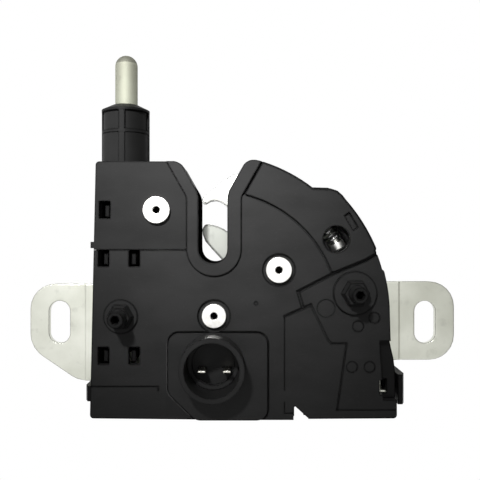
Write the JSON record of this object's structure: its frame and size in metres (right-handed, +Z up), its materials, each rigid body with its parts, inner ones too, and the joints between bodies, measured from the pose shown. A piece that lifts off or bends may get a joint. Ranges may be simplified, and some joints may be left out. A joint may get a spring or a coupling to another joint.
{
  "type": "hood latch",
  "caption": "Vehicle hood latch with steel bracket ears, moulded housing, striker slot with claw and safety hook, pop-up plunger and round two-terminal socket.",
  "frame": {"origin": "midway between the two bracket slots, on the bracket's rear mounting face", "axes": "+X to the right and +Z up seen from the connector side, +Y out of the bracket's rear mounting face"},
  "size_m": [0.1798, 0.054, 0.144],
  "materials": {
    "black_plastic": "moulded, fine texture",
    "grey_plastic": "moulded, smooth",
    "red_plastic": "moulded, smooth",
    "seal_rubber": "smooth",
    "zinc_steel": "zinc plated, satin",
    "hardened_steel": "stamped, plated",
    "rivet_steel": "bright peened",
    "spring_steel": "drawn wire",
    "pin_steel": "ground and plated",
    "tin_brass": "tinned"
  },
  "bodies": {
    "housing": {"front_cover": "black_plastic", "plunger_housing": "black_plastic", "back_plate": "zinc_steel", "rear_cover": "black_plastic", "connector_body": "grey_plastic", "socket_seal": "seal_rubber", "terminals": "tin_brass", "microswitch": "grey_plastic", "claw_spring": "spring_steel", "claw_bush": "hardened_steel", "claw_rivet": "rivet_steel", "hook_spring": "spring_steel", "spring_seat": "rivet_steel", "hook_rivet": "rivet_steel", "pivot_spacer": "hardened_steel", "front_sleeve": "hardened_steel", "rear_sleeve": "hardened_steel", "side_rivet": "rivet_steel", "side_spacer": "hardened_steel", "pawl_spring": "spring_steel", "plunger_spring": "spring_steel", "spring_channel": "grey_plastic"},
    "claw": {"claw": "hardened_steel"},
    "safety_hook": {"safety_hook": "zinc_steel", "spring_follower": "rivet_steel"},
    "pawl": {"pawl": "hardened_steel"},
    "key_spindle": {"key_spindle": "grey_plastic", "spindle_ring": "spring_steel"},
    "plunger": {"plunger_pin": "pin_steel", "plunger_collar": "spring_steel"},
    "switch_lever": {"switch_lever": "spring_steel"},
    "switch_button": {"switch_button": "red_plastic"}
  },
  "joints": [
    {"name": "claw_turn", "type": "hinge", "parent": "housing", "child": "claw", "pos_m": [0.01385, 0, 0.0234], "axis": [0, -1, 0], "range_deg": [0, 32], "stiffness_Nm_per_rad": 0.2, "springref_deg": -34.38},
    {"name": "hook_turn", "type": "hinge", "parent": "housing", "child": "safety_hook", "pos_m": [-0.01085, 0, 0.0059], "axis": [0, 1, 0], "range_deg": [0, 16], "stiffness_Nm_per_rad": 0.4, "springref_deg": -22.92, "deforming": ["hook_spring"]},
    {"name": "key_turn", "type": "hinge", "parent": "housing", "child": "key_spindle", "pos_m": [-0.0272, 0, 0.0044], "axis": [0, -1, 0], "range_deg": [-36, 15]},
    {"name": "pawl_turn", "type": "hinge", "parent": "housing", "child": "pawl", "pos_m": [-0.01085, 0, 0.0059], "axis": [0, -1, 0], "range_deg": [-4, 9.5], "stiffness_Nm_per_rad": 0.1},
    {"name": "plunger_slide", "type": "slide", "parent": "housing", "child": "plunger", "axis": [0, 0, -1], "range_m": [0, 0.018], "stiffness_N_per_m": 1500, "springref_m": -0.01, "deforming": ["plunger_spring"]},
    {"name": "switch_lever_turn", "type": "hinge", "parent": "housing", "child": "switch_lever", "pos_m": [0.0425, 0, 0.0032], "axis": [0, -1, 0], "range_deg": [-9, 0]},
    {"name": "switch_button_slide", "type": "slide", "parent": "housing", "child": "switch_button", "axis": [0, 0, 1], "range_m": [0, 0.0008]}
  ],
  "couplings": [
    {"joint": "pawl_turn", "follows": "key_turn", "ratio": -0.2611},
    {"joint": "switch_lever_turn", "follows": "claw_turn", "ratio": -0.26},
    {"joint": "switch_button_slide", "follows": "claw_turn", "m_per_rad": 0.00125}
  ]
}
